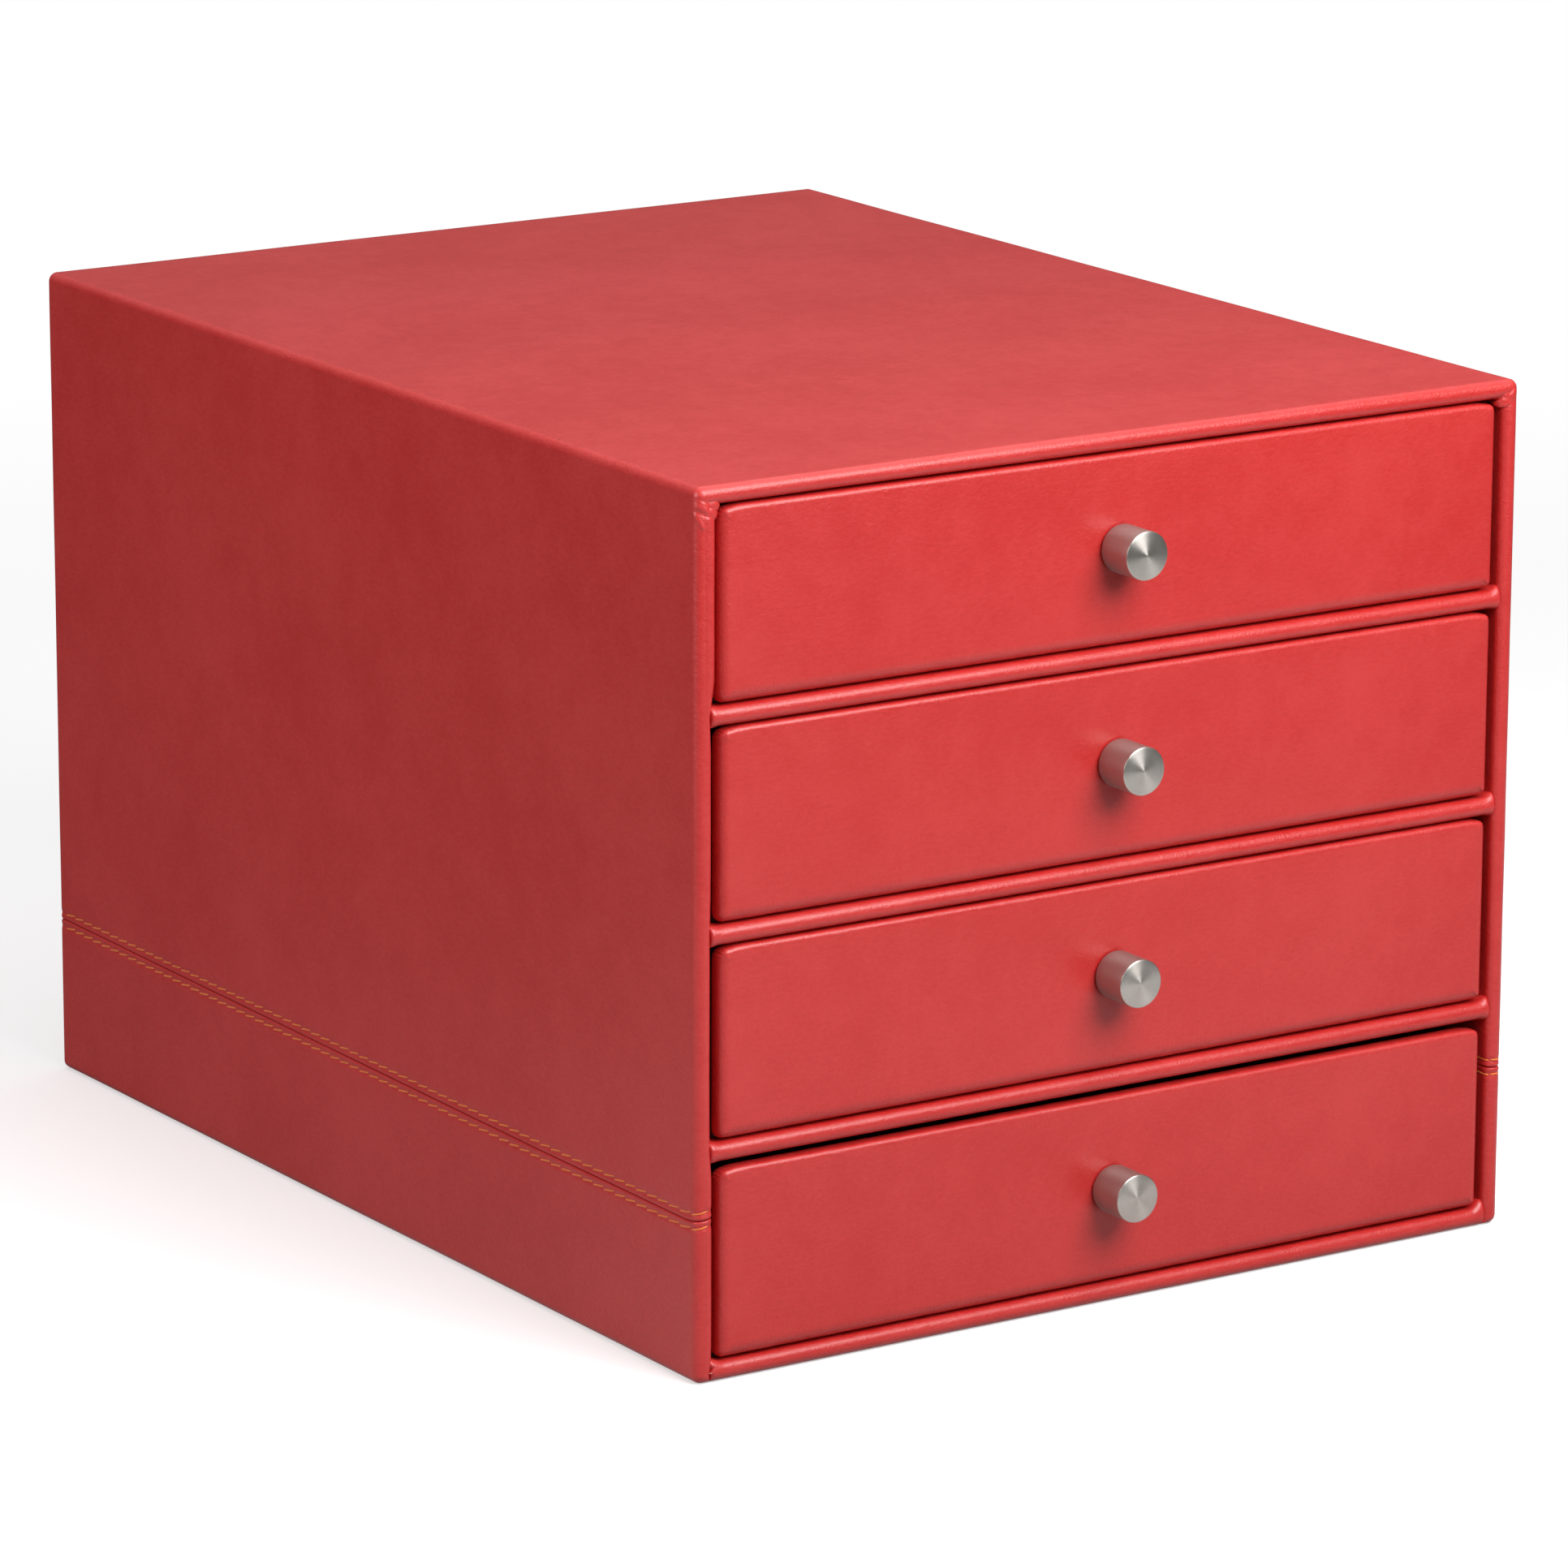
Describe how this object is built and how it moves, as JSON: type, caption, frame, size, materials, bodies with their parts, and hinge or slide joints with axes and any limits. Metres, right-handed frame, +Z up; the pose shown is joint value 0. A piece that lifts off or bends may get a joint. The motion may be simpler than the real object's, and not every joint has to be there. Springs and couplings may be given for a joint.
{
  "type": "desktop mini drawers",
  "caption": "Small desktop chest covered in red leatherette, with stacked drawers that slide out on wrapped shelves, each with a round steel knob.",
  "frame": {"origin": "middle of the face that the chest rests on", "axes": "+Z up, the drawers open towards -Y, +X to the right when facing the drawers"},
  "size_m": [0.2, 0.274, 0.181],
  "materials": {
    "leatherette": "smooth satin leatherette with a fine grain",
    "thread": "golden sewing thread",
    "seam_tape": "dark red woven tape",
    "greyboard": "raw greyboard",
    "box_board": "greyboard covered in black paper",
    "lining": "black lining paper",
    "flocking": "black flocked lining",
    "knob_steel": "turned and satin brushed",
    "screw_steel": "zinc plated"
  },
  "bodies": {
    "chest": {"left_side_board": "greyboard", "right_side_board": "greyboard", "top_board": "greyboard", "base_board": "greyboard", "back_board": "greyboard", "upper_cover": "leatherette", "left_lower_cover": "leatherette", "right_lower_cover": "leatherette", "base_wrap": "leatherette", "back_cover": "leatherette", "left_seam_tape": "seam_tape", "right_seam_tape": "seam_tape", "left_lining": "lining", "right_lining": "lining", "top_lining": "lining", "shelf_board_1": "greyboard", "shelf_wrap_1": "leatherette", "shelf_board_2": "greyboard", "shelf_wrap_2": "leatherette", "shelf_board_3": "greyboard", "shelf_wrap_3": "leatherette"},
    "drawer_1": {"front_board_1": "greyboard", "front_cover_1": "leatherette", "left_wall_1": "box_board", "right_wall_1": "box_board", "back_wall_1": "box_board", "floor_board_1": "box_board", "drawer_lining_1": "flocking", "knob_1": "knob_steel", "knob_screw_1": "screw_steel"},
    "drawer_2": {"front_board_2": "greyboard", "front_cover_2": "leatherette", "left_wall_2": "box_board", "right_wall_2": "box_board", "back_wall_2": "box_board", "floor_board_2": "box_board", "drawer_lining_2": "flocking", "knob_2": "knob_steel", "knob_screw_2": "screw_steel"},
    "drawer_3": {"front_board_3": "greyboard", "front_cover_3": "leatherette", "left_wall_3": "box_board", "right_wall_3": "box_board", "back_wall_3": "box_board", "floor_board_3": "box_board", "drawer_lining_3": "flocking", "knob_3": "knob_steel", "knob_screw_3": "screw_steel"},
    "drawer_4": {"front_board_4": "greyboard", "front_cover_4": "leatherette", "left_wall_4": "box_board", "right_wall_4": "box_board", "back_wall_4": "box_board", "floor_board_4": "box_board", "drawer_lining_4": "flocking", "knob_4": "knob_steel", "knob_screw_4": "screw_steel"}
  },
  "joints": [
    {"name": "drawer_1_slide", "type": "slide", "parent": "chest", "child": "drawer_1", "axis": [0, -1, 0], "range_m": [0, 0.2]},
    {"name": "drawer_2_slide", "type": "slide", "parent": "chest", "child": "drawer_2", "axis": [0, -1, 0], "range_m": [0, 0.2]},
    {"name": "drawer_3_slide", "type": "slide", "parent": "chest", "child": "drawer_3", "axis": [0, -1, 0], "range_m": [0, 0.2]},
    {"name": "drawer_4_slide", "type": "slide", "parent": "chest", "child": "drawer_4", "axis": [0, -1, 0], "range_m": [0, 0.2]}
  ]
}
